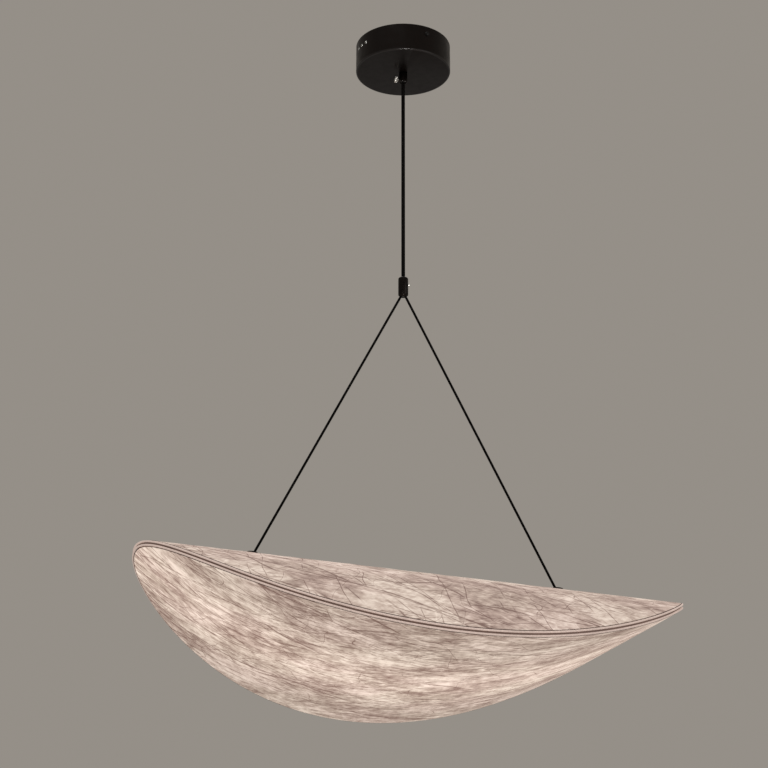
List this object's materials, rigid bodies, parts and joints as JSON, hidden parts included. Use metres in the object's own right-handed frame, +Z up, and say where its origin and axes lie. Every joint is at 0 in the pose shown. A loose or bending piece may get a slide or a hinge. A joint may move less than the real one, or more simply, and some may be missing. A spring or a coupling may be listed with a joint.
{
  "type": "pendant light",
  "caption": "Pendant light: a black ceiling cup, a cord that splits in two, and a lit paper shade whose rim bends like a saddle.",
  "frame": {"origin": "on the ceiling, at the centre of the ceiling cup and of its bracket's bolt circle", "axes": "+Z up into the ceiling, X along the shade's ridge with the lower end at +X, -Y the side that is seen"},
  "size_m": [0.6783, 0.6796, 0.8825],
  "materials": {
    "black_paint": "satin black paint",
    "black_screw": "blackened steel",
    "gland_metal": "satin black paint",
    "zinc_steel": "zinc-plated steel",
    "nickel": "satin nickel",
    "brass": "bare turned brass",
    "nylon": "natural nylon",
    "driver_plastic": "white moulded plastic",
    "circuit_board": "green coated laminate",
    "led_board": "white coated laminate",
    "led_phosphor": "phosphor-filled resin",
    "opal_plastic": "opal plastic, lit from behind",
    "bar_end_plastic": "grey moulded plastic",
    "aluminium": "extruded, clear anodised",
    "cord_sheath": "black sheathed cable",
    "lead_insulation": "smooth lead insulation",
    "paper_top": "long-fibre handmade paper, lit from inside",
    "paper_bottom": "long-fibre handmade paper, lit from inside",
    "paper_bead": "rolled paper hem with a stitched edge",
    "hoop_fibre": "dark pultruded glass fibre"
  },
  "bodies": {
    "ceiling_unit": {"canopy_cup": "black_paint", "ceiling_bracket": "zinc_steel", "driver_case": "driver_plastic", "driver_lid": "driver_plastic", "driver_board": "circuit_board", "terminal_block": "nylon", "terminal_screws": "brass", "supply_leads": "lead_insulation", "cord_tail": "cord_sheath"},
    "front_cup_screw": {"cup_screw_front": "black_screw"},
    "back_cup_screw": {"cup_screw_back": "black_screw"},
    "grip": {"grip_body": "black_paint", "grip_nut": "zinc_steel"},
    "thumb_screw": {"grip_screw": "nickel"},
    "drop": {"grip_bush": "nylon", "main_cord": "cord_sheath"},
    "yoke": {"splitter_body": "black_paint", "branch_cord_left": "cord_sheath", "branch_cord_right": "cord_sheath", "cord_ball_left": "brass", "cord_ball_right": "brass"},
    "grub_screw": {"splitter_screw": "nickel"},
    "shade": {"top_sheet": "paper_top", "bottom_sheet": "paper_bottom", "upper_bead": "paper_bead", "lower_bead": "paper_bead", "rim_hoop": "hoop_fibre", "hoop_ferrule": "aluminium", "gland_cap_left": "gland_metal", "gland_cap_right": "gland_metal", "gland_stem_left": "zinc_steel", "gland_stem_right": "zinc_steel", "gland_nut_left": "zinc_steel", "gland_nut_right": "zinc_steel", "inner_lead_left": "lead_insulation", "inner_lead_right": "lead_insulation", "light_bar": "aluminium", "led_board": "led_board", "led_chips": "led_phosphor", "bar_diffuser": "opal_plastic", "bar_end_left": "bar_end_plastic", "bar_end_right": "bar_end_plastic"}
  },
  "joints": [
    {"name": "shade_turn", "type": "hinge", "parent": "ceiling_unit", "child": "grip", "pos_m": [0, 0, -0.039], "axis": [0, 0, 1], "range_deg": [-180, 180]},
    {"name": "pendant_swing", "type": "hinge", "parent": "grip", "child": "drop", "pos_m": [0, 0, -0.0503], "axis": [0, 1, 0], "range_deg": [-15, 15]},
    {"name": "height_adjust", "type": "slide", "parent": "drop", "child": "yoke", "axis": [0, 0, 1], "range_m": [0, 0.22], "deforming": ["main_cord"]},
    {"name": "shade_roll", "type": "hinge", "parent": "yoke", "child": "shade", "pos_m": [0.00454, 0, -0.74458], "axis": [0.9974, 0, -0.0715], "range_deg": [-15, 15]},
    {"name": "grip_screw_turn", "type": "hinge", "parent": "grip", "child": "thumb_screw", "pos_m": [-0.008, 0, -0.0503], "axis": [-1, 0, 0], "range_deg": [0, 360]},
    {"name": "splitter_screw_turn", "type": "hinge", "parent": "yoke", "child": "grub_screw", "pos_m": [0.0066, 0, -0.3547], "axis": [1, 0, 0], "range_deg": [0, 360]},
    {"name": "front_cup_screw_turn", "type": "hinge", "parent": "ceiling_unit", "child": "front_cup_screw", "pos_m": [0.02009, -0.06182, -0.011], "axis": [0.309, -0.9511, 0], "range_deg": [0, 360]},
    {"name": "back_cup_screw_turn", "type": "hinge", "parent": "ceiling_unit", "child": "back_cup_screw", "pos_m": [-0.02009, 0.06182, -0.011], "axis": [-0.309, 0.9511, 0], "range_deg": [0, 360]}
  ]
}
